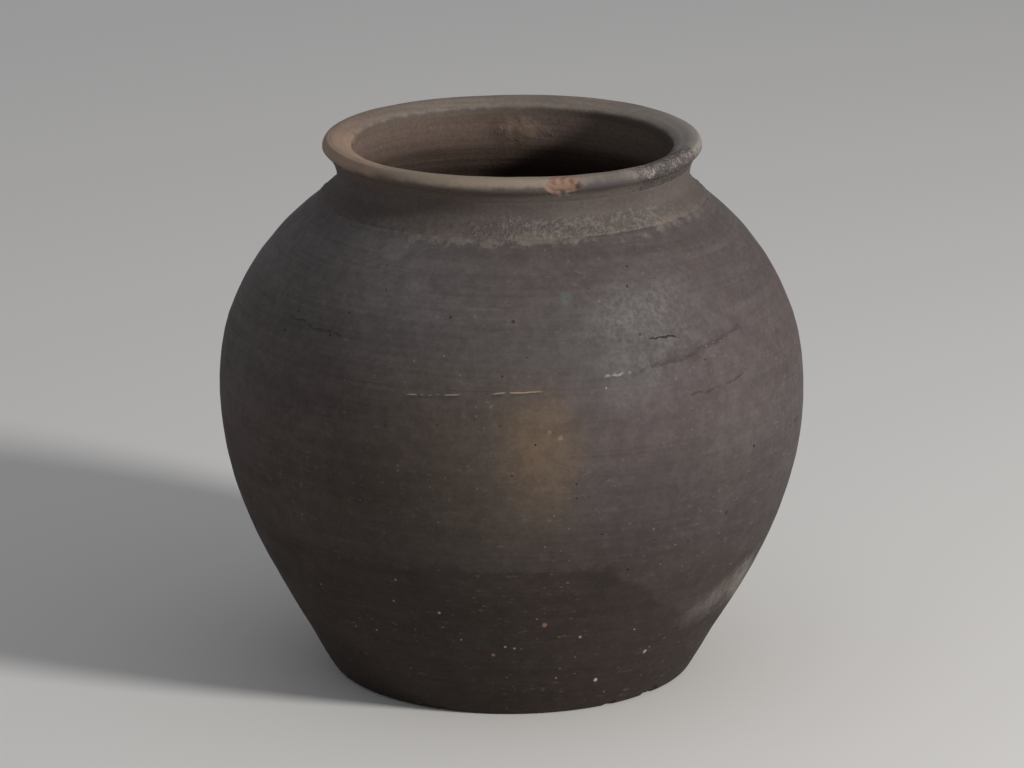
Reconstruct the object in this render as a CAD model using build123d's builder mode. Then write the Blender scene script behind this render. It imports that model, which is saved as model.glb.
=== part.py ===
"""Wide-mouthed black clay jar (barro negro), coil built from six luted pieces.

Origin: centre of the foot, on the surface that the jar stands on. +Z up, millimetres.
Every piece is a ring or disc turned about Z. Each joint is a scarf or a rebate, so the
pieces nest face to face, as they do when a potter lutes one course onto the next.
"""
from build123d import *

import os

# Driving dimensions of the whole jar
JAR_HEIGHT = 264.0
BELLY_RADIUS = 142.5
BELLY_HEIGHT = 138.0
FOOT_RADIUS = 86.0
FOOT_ROUNDING = 4.0
FOOT_LEAN = 56.0
WALL = 8.0
FLOOR = 10.0

# Outer wall between foot and neck, as (radius, height)
LOWER_WALL = [(102.6, 25.0), (117.1, 50.0), (131.1, 80.0), (139.9, 110.0)]
UPPER_WALL = [(139.1, 170.0), (129.0, 195.0), (114.9, 215.0), (103.8, 226.0)]

# Neck: the collar stands on the shoulder where the slope turns upwards
COLLAR_RADIUS = 93.5
COLLAR_HEIGHT = 235.0
COLLAR_SLOPE = (-1.0, 0.95)
NECK_RADIUS = 85.2
NECK_HEIGHT = 245.5
THROAT_RADIUS = 78.0

# Rolled lip: hollow underneath, fullest at LIP_RADIUS, crowned by a narrow level land at its
# outer side; from the land its top dishes gently down to the mouth
LIP_RADIUS = 91.7
LIP_HEIGHT = 259.8
LIP_HOLLOW = (88.0, 254.9)
LIP_TURN = 262.4
LAND_OUTER = 89.0
LAND_INNER = 87.0
LAND_EASE = 1.0
DISH_FOOT = (80.0, 262.1)
MOUTH_RADIUS = 77.4
MOUTH_HEIGHT = 260.0

# Floor of the hollow, and the stations of the outer wall that the inner wall follows
FLOOR_RADIUS = 77.0
CORNER_RADIUS = 14.0
WALL_STATIONS = [0.2, 0.35, 0.5, 0.65, 0.8, 0.93]

# Joints: outer seam as (radius, height), and how steeply the joint rises inwards
FOOT_SEAM = (92.5, 7.0)
WAIST_SEAM = (133.6, 87.0)
BELLY_SEAM = (138.0, 174.5)
SCARF_RISE = 1.0
FOOT_RISE = 0.7
COLLAR_RISE = 0.2
REBATE_OUTER = 251.5
REBATE_INNER = 257.0
REBATE_RADIUS = 82.2

# Joint lines run this far past the outer seam, outwards and inwards, then level to clear radius
PAST_OUTSIDE = 8.0
PAST_INSIDE = 20.0
CLEAR_RADIUS = 200.0
CLEAR_HEIGHT = 10.0


def inside_of(curve: Edge, station: float) -> Vector:
    """Give the point one wall thickness inside a rising outer curve."""
    tangent = curve % station
    return curve @ station + Vector(-tangent.Y, tangent.X) * WALL


def scarf(seam: tuple, rise: float) -> list:
    """Give a joint line from clear of the jar, through its outer seam, to the axis."""
    radius, height = seam
    outer_height = height - rise * PAST_OUTSIDE
    inner_height = height + rise * PAST_INSIDE
    return [
        (CLEAR_RADIUS, outer_height),
        (radius + PAST_OUTSIDE, outer_height),
        (radius - PAST_INSIDE, inner_height),
        (0.0, inner_height),
    ]


# Section of all the clay, in radius and height
with BuildLine() as clay_outline:
    underside = Line((0, 0), (FOOT_RADIUS, 0))
    foot_edge = JernArc(underside @ 1, (1, 0), FOOT_ROUNDING, FOOT_LEAN)
    outer_wall = Spline(
        foot_edge @ 1,
        *LOWER_WALL,
        (BELLY_RADIUS, BELLY_HEIGHT),
        *UPPER_WALL,
        (COLLAR_RADIUS, COLLAR_HEIGHT),
        tangents=[foot_edge % 1, COLLAR_SLOPE],
    )
    neck_hollow = Spline(outer_wall @ 1, (NECK_RADIUS, NECK_HEIGHT), tangents=[COLLAR_SLOPE, (0, 1)])
    lip_underside = Spline(
        neck_hollow @ 1,
        LIP_HOLLOW,
        (LIP_RADIUS, LIP_HEIGHT),
        tangents=[(0, 1), (0, 1)],
    )
    lip_shoulder = Bezier(
        lip_underside @ 1,
        (LIP_RADIUS, LIP_TURN),
        (LAND_OUTER + LAND_EASE, JAR_HEIGHT),
        (LAND_OUTER, JAR_HEIGHT),
    )
    lip_land = Line(lip_shoulder @ 1, (LAND_INNER, JAR_HEIGHT))
    lip_dish = Spline(
        lip_land @ 1,
        DISH_FOOT,
        (MOUTH_RADIUS, MOUTH_HEIGHT),
        tangents=[(-1, 0), (0, -1)],
    )
    floor_line = Line((0, FLOOR), (FLOOR_RADIUS, FLOOR))
    floor_corner = JernArc(floor_line @ 1, (1, 0), CORNER_RADIUS, FOOT_LEAN)
    inner_wall = Spline(
        floor_corner @ 1,
        *[inside_of(outer_wall, station) for station in WALL_STATIONS],
        (THROAT_RADIUS, NECK_HEIGHT),
        lip_dish @ 1,
        tangents=[floor_corner % 1, (0, 1)],
    )
    axis_line = Line(underside @ 0, floor_line @ 0)

# Joint lines, from the ground up
ground_line = [(CLEAR_RADIUS, -CLEAR_HEIGHT), (0.0, -CLEAR_HEIGHT)]
foot_joint = scarf(FOOT_SEAM, FOOT_RISE)
waist_joint = scarf(WAIST_SEAM, SCARF_RISE)
belly_joint = scarf(BELLY_SEAM, SCARF_RISE)
collar_joint = scarf((COLLAR_RADIUS, COLLAR_HEIGHT), COLLAR_RISE)
lip_joint = [
    (CLEAR_RADIUS, REBATE_OUTER),
    (REBATE_RADIUS, REBATE_OUTER),
    (REBATE_RADIUS, REBATE_INNER),
    (0.0, REBATE_INNER),
]
sky_line = [(CLEAR_RADIUS, JAR_HEIGHT + CLEAR_HEIGHT), (0.0, JAR_HEIGHT + CLEAR_HEIGHT)]


def draw_clay_between(lower_joint: list, upper_joint: list) -> None:
    """Draw the clay section that lies between two joint lines, in the open sketch."""
    with BuildLine(mode=Mode.PRIVATE) as band:
        Polyline(*lower_joint, *reversed(upper_joint), close=True)
    make_face(clay_outline.edges())
    make_face(band.edges(), mode=Mode.INTERSECT)


# Base disc: the flat floor, with a bevelled edge that the wall laps over
with BuildPart() as base_disc:
    with BuildSketch(Plane.XZ):
        draw_clay_between(ground_line, foot_joint)
    revolve(axis=Axis.Z)

# Lower course: opens out from the foot
with BuildPart() as lower_course:
    with BuildSketch(Plane.XZ):
        draw_clay_between(foot_joint, waist_joint)
    revolve(axis=Axis.Z)

# Belly course: the widest ring
with BuildPart() as belly_course:
    with BuildSketch(Plane.XZ):
        draw_clay_between(waist_joint, belly_joint)
    revolve(axis=Axis.Z)

# Shoulder course: closes in to the mouth, its edge trimmed nearly flat for the collar
with BuildPart() as shoulder_course:
    with BuildSketch(Plane.XZ):
        draw_clay_between(belly_joint, collar_joint)
    revolve(axis=Axis.Z)

# Neck collar: a thick coil drawn up into the short neck, rebated for the lip
with BuildPart() as neck_collar:
    with BuildSketch(Plane.XZ):
        draw_clay_between(collar_joint, lip_joint)
    revolve(axis=Axis.Z)

# Rim roll: the rolled lip, folded over the collar's top edge
with BuildPart() as rim_roll:
    with BuildSketch(Plane.XZ):
        draw_clay_between(lip_joint, sky_line)
    revolve(axis=Axis.Z)

base_disc.part.label = "base_disc"
lower_course.part.label = "lower_course"
belly_course.part.label = "belly_course"
shoulder_course.part.label = "shoulder_course"
neck_collar.part.label = "neck_collar"
rim_roll.part.label = "rim_roll"

os.makedirs("parts", exist_ok=True)
export_step(base_disc.part, "parts/base_disc.step")
export_step(lower_course.part, "parts/lower_course.step")
export_step(belly_course.part, "parts/belly_course.step")
export_step(shoulder_course.part, "parts/shoulder_course.step")
export_step(neck_collar.part, "parts/neck_collar.step")
export_step(rim_roll.part, "parts/rim_roll.step")
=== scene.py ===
import logging
import math
from dataclasses import dataclass
from enum import Enum
from functools import cached_property

import bmesh
import bpy
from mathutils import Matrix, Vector, noise
from mathutils.geometry import interpolate_bezier


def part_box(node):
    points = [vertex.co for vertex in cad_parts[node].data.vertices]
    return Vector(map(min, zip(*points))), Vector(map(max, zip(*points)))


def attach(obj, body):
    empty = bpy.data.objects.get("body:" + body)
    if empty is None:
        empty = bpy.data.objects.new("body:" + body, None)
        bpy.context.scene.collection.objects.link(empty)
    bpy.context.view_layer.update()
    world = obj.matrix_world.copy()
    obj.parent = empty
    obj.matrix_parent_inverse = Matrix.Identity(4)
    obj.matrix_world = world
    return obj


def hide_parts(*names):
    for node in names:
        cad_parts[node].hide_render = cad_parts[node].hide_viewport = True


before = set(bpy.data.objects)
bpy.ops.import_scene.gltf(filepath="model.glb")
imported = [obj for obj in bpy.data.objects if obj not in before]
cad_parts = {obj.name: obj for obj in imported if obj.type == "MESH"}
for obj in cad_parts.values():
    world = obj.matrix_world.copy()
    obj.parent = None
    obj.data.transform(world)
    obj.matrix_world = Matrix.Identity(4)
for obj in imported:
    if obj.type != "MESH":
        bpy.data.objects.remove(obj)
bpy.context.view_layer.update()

log = logging.getLogger("black_clay_jar")

MM = 0.001
SPIRAL_RISE = 1.6 * MM
ON_AXIS = 0.001 * MM

Socket = bpy.types.NodeSocket
Feed = Socket | float | int | tuple
Outputs = bpy.types.bpy_prop_collection


# --- Wiring shader nodes ---


class Wiring:
    """Adds nodes to one node tree and joins them up."""

    def __init__(self, tree: bpy.types.NodeTree) -> None:
        """Take the node tree to work in."""
        self.tree = tree

    def add(self, kind: str, **settings: object) -> bpy.types.Node:
        """Add one node.

        Args:
            kind: the node's type name without its ShaderNode prefix.
            settings: properties of the node to set.

        Returns:
            The new node.
        """
        node = self.tree.nodes.new("ShaderNode" + kind)
        for name, value in settings.items():
            setattr(node, name, value)
        return node

    def feed(self, socket: Socket, value: Feed) -> None:
        """Link a value's socket into an input, or set the input to a constant."""
        if isinstance(value, bpy.types.NodeSocket):
            self.tree.links.new(value, socket)
        else:
            socket.default_value = value

    def math(self, operation: str, *values: Feed) -> Socket:
        """Do arithmetic on one to three values and return the result's socket."""
        node = self.add("Math", operation=operation)
        for socket, value in zip(node.inputs, values):
            self.feed(socket, value)
        return node.outputs[0]

    def total(self, *values: Feed) -> Socket:
        """Add several values together and return the sum's socket."""
        result = values[0]
        for value in values[1:]:
            result = self.math("ADD", result, value)
        return result

    def product(self, *values: Feed) -> Socket:
        """Multiply several values together and return the product's socket."""
        result = values[0]
        for value in values[1:]:
            result = self.math("MULTIPLY", result, value)
        return result

    def away(self, value: Feed, centre: float) -> Socket:
        """Give how far a value is from a centre, either way."""
        return self.math("ABSOLUTE", self.math("SUBTRACT", value, centre))

    def wobbled(self, value: Feed, wobble: Feed, size: Feed) -> Socket:
        """Shift a value up and down by a noise from 0 to 1, spread over a size."""
        return self.math("MULTIPLY_ADD", self.math("SUBTRACT", wobble, 0.5), size, value)

    def moved(self, vector: Feed, shift: Feed) -> Socket:
        """Shift a vector and return its socket."""
        node = self.add("VectorMath", operation="ADD")
        self.feed(node.inputs[0], vector)
        self.feed(node.inputs[1], shift)
        return node.outputs[0]

    def cells(self, vector: Feed, scale: Feed) -> Outputs:
        """Scatter cells about one to the scale in a metre and return their outputs."""
        node = self.add("TexVoronoi")
        self.feed(node.inputs["Vector"], vector)
        self.feed(node.inputs["Scale"], scale)
        return node.outputs

    def ramp(self, value: Feed, low: Feed, high: Feed, start: Feed = 0.0, end: Feed = 1.0) -> Socket:
        """Ease from start to end as value goes from low to high, and hold beyond them."""
        node = self.add("MapRange", interpolation_type="SMOOTHSTEP")
        for socket, number in zip(node.inputs, (value, low, high, start, end)):
            self.feed(socket, number)
        return node.outputs[0]

    def tint(self, factor: Feed, under: Feed, over: Feed, way: str = "MIX") -> Socket:
        """Blend an upper colour over a lower one by a factor and return the result's socket."""
        node = self.add("Mix", data_type="RGBA", blend_type=way)
        self.feed(node.inputs[0], factor)
        self.feed(node.inputs[6], under)
        self.feed(node.inputs[7], over)
        return node.outputs[2]

    def stretch(self, vector: Feed, scale: tuple) -> Socket:
        """Scale a vector along each axis and return its socket."""
        node = self.add("VectorMath", operation="MULTIPLY")
        self.feed(node.inputs[0], vector)
        self.feed(node.inputs[1], scale)
        return node.outputs[0]

    def noise(self, vector: Feed, scale: Feed, detail: float = 2.0, rough: float = 0.5) -> Socket:
        """Give fractal noise from 0 to 1 at a scale in cells per metre."""
        node = self.add("TexNoise")
        self.feed(node.inputs["Vector"], vector)
        self.feed(node.inputs["Scale"], scale)
        node.inputs["Detail"].default_value = detail
        node.inputs["Roughness"].default_value = rough
        return node.outputs[0]


class GroupBench(Wiring):
    """One shader node group under construction, with named inputs and outputs."""

    def __init__(self, name: str, inputs: dict[str, object], outputs: dict[str, str]) -> None:
        """Make an empty group and its interface.

        Args:
            name: the group's name.
            inputs: default value of each input; a tuple makes a vector.
            outputs: socket type of each output, as Float, Color or Vector.
        """
        super().__init__(bpy.data.node_groups.new(name, "ShaderNodeTree"))
        face = self.tree.interface
        for label, default in inputs.items():
            kind = "NodeSocketFloat" if isinstance(default, (int, float)) else "NodeSocketVector"
            socket = face.new_socket(name=label, in_out="INPUT", socket_type=kind)
            socket.default_value = default
        for label, kind in outputs.items():
            face.new_socket(name=label, in_out="OUTPUT", socket_type="NodeSocket" + kind)
        self.source = self.tree.nodes.new("NodeGroupInput")
        self.sink = self.tree.nodes.new("NodeGroupOutput")

    def given(self, label: str) -> Socket:
        """Return the socket of a named input."""
        return self.source.outputs[label]

    def give(self, label: str, value: Feed) -> None:
        """Send a value to a named output."""
        self.feed(self.sink.inputs[label], value)


# --- Shared effects, each one shader node group ---


ORIGIN = (0.0, 0.0, 0.0)
ON_JAR = {"Point": ORIGIN, "Angle": 0.0, "Height": 0.0, "Radius": 0.1, "At Angle": 0.0, "At Height": 0.0}


def make_place_group() -> None:
    """Find where a point lies on the jar: its angle from the front, height and radius."""
    outputs = {"Point": "Vector", "Angle": "Float", "Height": "Float", "Radius": "Float"}
    bench = GroupBench("place_on_jar", {}, outputs)
    point = bench.add("TexCoord").outputs["Object"]
    parts = bench.add("SeparateXYZ")
    bench.feed(parts.inputs[0], point)
    x, y, z = parts.outputs
    bench.give("Point", point)
    bench.give("Angle", bench.math("ARCTAN2", x, bench.product(y, -1.0)))
    bench.give("Height", z)
    bench.give("Radius", bench.math("SQRT", bench.total(bench.product(x, x), bench.product(y, y))))


def from_middle(bench: GroupBench) -> tuple[Socket, Socket]:
    """Measure along the wall and up it, from a mark's own middle to the point.

    Args:
        bench: a group whose inputs include those of ON_JAR.

    Returns:
        The distance to the right and the rise, in metres.
    """
    turn = bench.math("SUBTRACT", bench.given("Angle"), bench.math("RADIANS", bench.given("At Angle")))
    turn = bench.math("WRAP", turn, math.pi, -math.pi)
    along = bench.product(turn, bench.given("Radius"))
    return along, bench.math("SUBTRACT", bench.given("Height"), bench.given("At Height"))


def make_patch_group() -> None:
    """Mask a soft or ragged oval patch on the wall, turned by a slant."""
    shape = {"Half Width": 0.01, "Half Height": 0.01, "Slant": 0.0}
    edge = {"Softness": 0.5, "Ragged": 0.2, "Grain": 200.0}
    bench = GroupBench("patch", {**ON_JAR, **shape, **edge}, {"Mask": "Float"})
    given = bench.given
    along, rise = from_middle(bench)
    slant = bench.math("RADIANS", given("Slant"))
    cosine = bench.math("COSINE", slant)
    sine = bench.math("SINE", slant)
    across = bench.total(bench.product(along, cosine), bench.product(rise, sine))
    upward = bench.math("SUBTRACT", bench.product(rise, cosine), bench.product(along, sine))
    u = bench.math("DIVIDE", across, given("Half Width"))
    v = bench.math("DIVIDE", upward, given("Half Height"))
    reach = bench.math("SQRT", bench.total(bench.product(u, u), bench.product(v, v)))
    wobble = bench.noise(given("Point"), given("Grain"), 3.0, 0.6)
    reach = bench.wobbled(reach, wobble, bench.product(given("Ragged"), 3.0))
    inner = bench.math("SUBTRACT", 1.0, given("Softness"))
    outer = bench.math("ADD", 1.0, given("Softness"))
    bench.give("Mask", bench.ramp(reach, outer, inner))


def make_hairline_group() -> None:
    """Mask a wandering, broken hairline on the wall, and the strip just below it."""
    shape = {"Half Length": 0.02, "Thickness": 0.0003, "Slant": 0.0, "Wander": 0.0006, "Breaks": 0.3}
    bench = GroupBench("hairline", {**ON_JAR, **shape}, {"Line": "Float", "Below": "Float"})
    given = bench.given
    along, rise = from_middle(bench)
    slope = bench.math("TANGENT", bench.math("RADIANS", given("Slant")))
    rise = bench.math("SUBTRACT", rise, bench.product(along, slope))
    drift = bench.noise(given("Point"), 90.0, 4.0, 0.65)
    rise = bench.wobbled(rise, drift, bench.product(given("Wander"), 6.0))
    ends = bench.math("DIVIDE", bench.math("ABSOLUTE", along), given("Half Length"))
    least = bench.product(given("Breaks"), 0.9)
    kept = bench.ramp(bench.noise(given("Point"), 260.0, 1.0), least, bench.total(least, 0.12))
    shown = bench.product(bench.ramp(ends, 1.0, 0.7), kept)
    off = bench.math("DIVIDE", rise, given("Thickness"))
    bench.give("Line", bench.product(bench.ramp(bench.math("ABSOLUTE", off), 1.6, 0.4), shown))
    bench.give("Below", bench.product(bench.ramp(off, -8.0, -1.0), bench.ramp(off, 0.5, -1.0), shown))


def make_clouds_group() -> None:
    """Smoke clouds from the firing: broad soft tones and smaller mottling, from 0 to 1."""
    outputs = {"Broad": "Float", "Middle": "Float", "Mottle": "Float", "Blush": "Float"}
    bench = GroupBench("smoke_clouds", {"Point": ORIGIN}, outputs)
    point = bench.given("Point")
    broad = bench.noise(bench.stretch(point, (1.0, 1.0, 1.5)), 9.0, 2.0, 0.45)
    middle = bench.noise(bench.stretch(point, (1.0, 1.0, 1.8)), 34.0, 3.0, 0.55)
    blush = bench.noise(bench.moved(point, (3.7, 1.9, 5.3)), 20.0, 3.0, 0.5)
    bench.give("Broad", bench.ramp(broad, 0.32, 0.68))
    bench.give("Middle", bench.ramp(middle, 0.3, 0.7))
    bench.give("Mottle", bench.ramp(bench.noise(point, 150.0, 4.0, 0.6), 0.3, 0.7))
    bench.give("Blush", bench.ramp(blush, 0.35, 0.7))


def make_wiping_group() -> None:
    """Fine level lines left by a wet cloth as the jar is turned, slightly spiralling."""
    inputs = {"Point": ORIGIN, "Angle": 0.0, "Spacing": 0.0014}
    bench = GroupBench("wiping_lines", inputs, {"Lines": "Float", "Streaks": "Float"})
    rise = bench.add("CombineXYZ")
    bench.feed(rise.inputs[2], bench.product(bench.math("SINE", bench.given("Angle")), SPIRAL_RISE))
    flat = bench.stretch(bench.moved(bench.given("Point"), rise.outputs[0]), (0.022, 0.022, 1.0))
    per_metre = bench.math("DIVIDE", 1.0, bench.given("Spacing"))
    bench.give("Lines", bench.noise(flat, per_metre, 2.0, 0.6))
    streaks = bench.noise(flat, bench.product(per_metre, 0.16), 3.0, 0.6)
    bench.give("Streaks", bench.ramp(streaks, 0.3, 0.7))


def make_specks_group() -> None:
    """Scattered round specks: grit showing at the surface, or the holes it leaves."""
    inputs = {"Point": ORIGIN, "Scale": 120.0, "Share": 0.2, "Size": 0.25, "Shift": ORIGIN}
    bench = GroupBench("specks", inputs, {"Mask": "Float"})
    place = bench.moved(bench.given("Point"), bench.given("Shift"))
    cells = bench.cells(place, bench.given("Scale"))
    picks = bench.add("SeparateColor")
    bench.feed(picks.inputs[0], cells["Color"])
    chosen = bench.math("LESS_THAN", picks.outputs[0], bench.given("Share"))
    size = bench.product(bench.given("Size"), bench.math("MULTIPLY_ADD", picks.outputs[1], 0.8, 0.4))
    reach = bench.wobbled(cells["Distance"], bench.noise(place, 900.0, 2.0), 0.35)
    bench.give("Mask", bench.product(bench.ramp(reach, size, bench.product(size, 0.45)), chosen))


def make_grain_group() -> None:
    """The tooth of unburnished clay: fine sand grain and a coarser pebbling."""
    bench = GroupBench("clay_grain", {"Point": ORIGIN}, {"Fine": "Float", "Coarse": "Float"})
    bench.give("Fine", bench.noise(bench.given("Point"), 2100.0, 3.0, 0.65))
    bench.give("Coarse", bench.noise(bench.given("Point"), 520.0, 4.0, 0.6))


def make_crust_group() -> None:
    """Crumbly crust: clinging ash and lime grains with bare gaps between them."""
    bench = GroupBench("crust", {"Point": ORIGIN, "Amount": 0.5}, {"Mask": "Float", "Rise": "Float"})
    point = bench.given("Point")
    lumps = bench.noise(point, 330.0, 5.0, 0.72)
    crumbs = bench.cells(point, 800.0)["Distance"]
    rough = bench.math("MULTIPLY_ADD", crumbs, -0.22, bench.math("ADD", lumps, 0.11))
    limit = bench.math("MULTIPLY_ADD", bench.given("Amount"), -0.42, 0.78)
    mask = bench.ramp(rough, limit, bench.math("ADD", limit, 0.2))
    bench.give("Mask", mask)
    bench.give("Rise", bench.product(mask, bench.math("MULTIPLY_ADD", lumps, 1.2, 0.1)))


class Effect(Enum):
    """The shared effects that finishes are built from."""

    PLACE = "place_on_jar"
    PATCH = "patch"
    HAIRLINE = "hairline"
    CLOUDS = "smoke_clouds"
    WIPING = "wiping_lines"
    SPECKS = "specks"
    GRAIN = "clay_grain"
    CRUST = "crust"


EFFECT_MAKERS = {
    Effect.PLACE: make_place_group,
    Effect.PATCH: make_patch_group,
    Effect.HAIRLINE: make_hairline_group,
    Effect.CLOUDS: make_clouds_group,
    Effect.WIPING: make_wiping_group,
    Effect.SPECKS: make_specks_group,
    Effect.GRAIN: make_grain_group,
    Effect.CRUST: make_crust_group,
}


class ClayRecipe(Wiring):
    """A clay material in the making: a base colour, a roughness and a relief that marks are laid on."""

    def __init__(self, name: str, colour: tuple, roughness: float) -> None:
        """Start a material with a plain ground, in a linear colour."""
        self.material = bpy.data.materials.new(name)
        self.material.use_nodes = True
        super().__init__(self.material.node_tree)
        self.shader = self.tree.nodes["Principled BSDF"]
        place = self.effect(Effect.PLACE)
        self.point = place["Point"]
        self.angle = place["Angle"]
        self.height = place["Height"]
        self.radius = place["Radius"]
        self.colour: Feed = (*colour, 1.0)
        self.roughness: Feed = roughness
        self.relief: Feed = 0.0

    @cached_property
    def clouds(self) -> Outputs:
        """Outputs of the smoke clouds."""
        return self.effect(Effect.CLOUDS)

    @cached_property
    def grain(self) -> Outputs:
        """Outputs of the clay grain."""
        return self.effect(Effect.GRAIN)

    def effect(self, effect: Effect, **values: Feed) -> Outputs:
        """Place a shared effect and fill its inputs.

        Args:
            effect: which effect.
            values: a value for each input, with underscores for the spaces in its name.

        Returns:
            The effect's outputs.
        """
        if effect.value not in bpy.data.node_groups:
            EFFECT_MAKERS[effect]()
        node = self.add("Group", node_tree=bpy.data.node_groups[effect.value])
        for socket in node.inputs:
            if socket.name in ("Point", "Angle", "Height", "Radius"):
                self.feed(socket, getattr(self, socket.name.lower()))
        for name, value in values.items():
            self.feed(node.inputs[name.replace("_", " ").title()], value)
        return node.outputs

    def stain(self, colour: tuple, *masks: Feed) -> None:
        """Lay a colour over the ground where the product of some masks says."""
        self.colour = self.tint(self.product(*masks), self.colour, (*colour, 1.0))

    def shade(self, value: Feed, low: float, high: float, dark: float, light: float) -> None:
        """Multiply the colour by a factor that eases from dark to light as a value rises."""
        spread = self.add("CombineColor")
        factor = self.ramp(value, low, high, dark, light)
        for socket in spread.inputs:
            self.feed(socket, factor)
        self.colour = self.tint(1.0, self.colour, spread.outputs[0], "MULTIPLY")

    def raise_by(self, *factors: Feed) -> None:
        """Add the product of some factors to the relief, in millimetres."""
        self.relief = self.math("ADD", self.relief, self.product(*factors))

    def finish(self, specular: float) -> bpy.types.Material:
        """Join colour, roughness and relief to the shader and return the finished material."""
        bump = self.add("Bump")
        bump.inputs["Strength"].default_value = 1.0
        bump.inputs["Distance"].default_value = MM
        self.feed(bump.inputs["Height"], self.relief)
        self.feed(self.shader.inputs["Specular IOR Level"], specular)
        self.feed(self.shader.inputs["Base Color"], self.colour)
        self.feed(self.shader.inputs["Roughness"], self.roughness)
        self.feed(self.shader.inputs["Normal"], bump.outputs[0])
        return self.material


# --- Marks that lie at one place on the jar ---


@dataclass(frozen=True)
class Patch:
    """A stain, rub or scorch. Angle in degrees to the right of the front, lengths in millimetres."""

    angle: float
    height: float
    half_width: float
    half_height: float
    colour: tuple
    strength: float = 1.0
    softness: float = 0.5
    ragged: float = 0.2
    grain: float = 200.0
    slant: float = 0.0
    mottled: float = 0.0
    relief: float = 0.0

    def lay(self, clay: ClayRecipe) -> None:
        """Lay this patch on a material in the making."""
        mask = clay.effect(
            Effect.PATCH, at_angle=self.angle, at_height=self.height * MM,
            half_width=self.half_width * MM, half_height=self.half_height * MM,
            slant=self.slant, softness=self.softness, ragged=self.ragged, grain=self.grain,
        )["Mask"]
        masks = [mask, self.strength]
        if self.mottled:
            bare = clay.noise(clay.point, 420.0, 4.0, 0.7)
            masks.append(clay.ramp(bare, 0.35, 0.65, 1.0 - self.mottled, 1.0))
        clay.stain(self.colour, *masks)
        if self.relief:
            clay.raise_by(mask, self.relief)


def fleck(angle: float, height: float, size: float, colour: tuple, relief: float = 0.0) -> Patch:
    """Make the patch for one grain of grit or one pit."""
    return Patch(angle, height, size, size, colour, 1.0, 0.45, 0.45, 700.0, relief=relief)


@dataclass(frozen=True)
class Hairline:
    """A crack, scratch or luting line. Angle in degrees right of the front, lengths in millimetres."""

    angle: float
    height: float
    half_length: float
    thickness: float
    colour: tuple
    strength: float
    slant: float
    wander: float
    breaks: float
    depth: float = 0.15
    below: tuple | None = None

    def lay(self, clay: ClayRecipe) -> None:
        """Lay this line, and any shade below it, on a material in the making."""
        masks = clay.effect(
            Effect.HAIRLINE, at_angle=self.angle, at_height=self.height * MM,
            half_length=self.half_length * MM, thickness=self.thickness * MM,
            slant=self.slant, wander=self.wander * MM, breaks=self.breaks,
        )
        if self.below:
            clay.stain(self.below, masks["Below"], 0.6 * self.strength)
        clay.stain(self.colour, masks["Line"], self.strength)
        clay.raise_by(masks["Line"], -self.depth)


# --- Finishes ---

LIME = (0.30, 0.255, 0.205)
ASH = (0.19, 0.165, 0.145)
SOOT = (0.012, 0.010, 0.010)
RED_CLAY = (0.235, 0.125, 0.080)
PALE_LINE = (0.34, 0.25, 0.18)


@dataclass(frozen=True)
class Finish:
    """What every clay finish has: a ground colour, how it takes light, and marks laid on it in order."""

    name: str
    ground: tuple
    roughness: float
    specular: float
    marks: tuple = ()

    def material(self) -> bpy.types.Material:
        """Mix the finish and return its material."""
        clay = ClayRecipe(self.name, self.ground, self.roughness)
        self.dress(clay)
        return clay.finish(self.specular)

    def dress(self, clay: ClayRecipe) -> None:
        """Lay this finish's own tones, marks and relief over the ground.

        Args:
            clay: the material in the making.
        """
        raise NotImplementedError

    def lay_marks(self, clay: ClayRecipe) -> None:
        """Lay the marks in order."""
        for mark in self.marks:
            mark.lay(clay)


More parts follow.
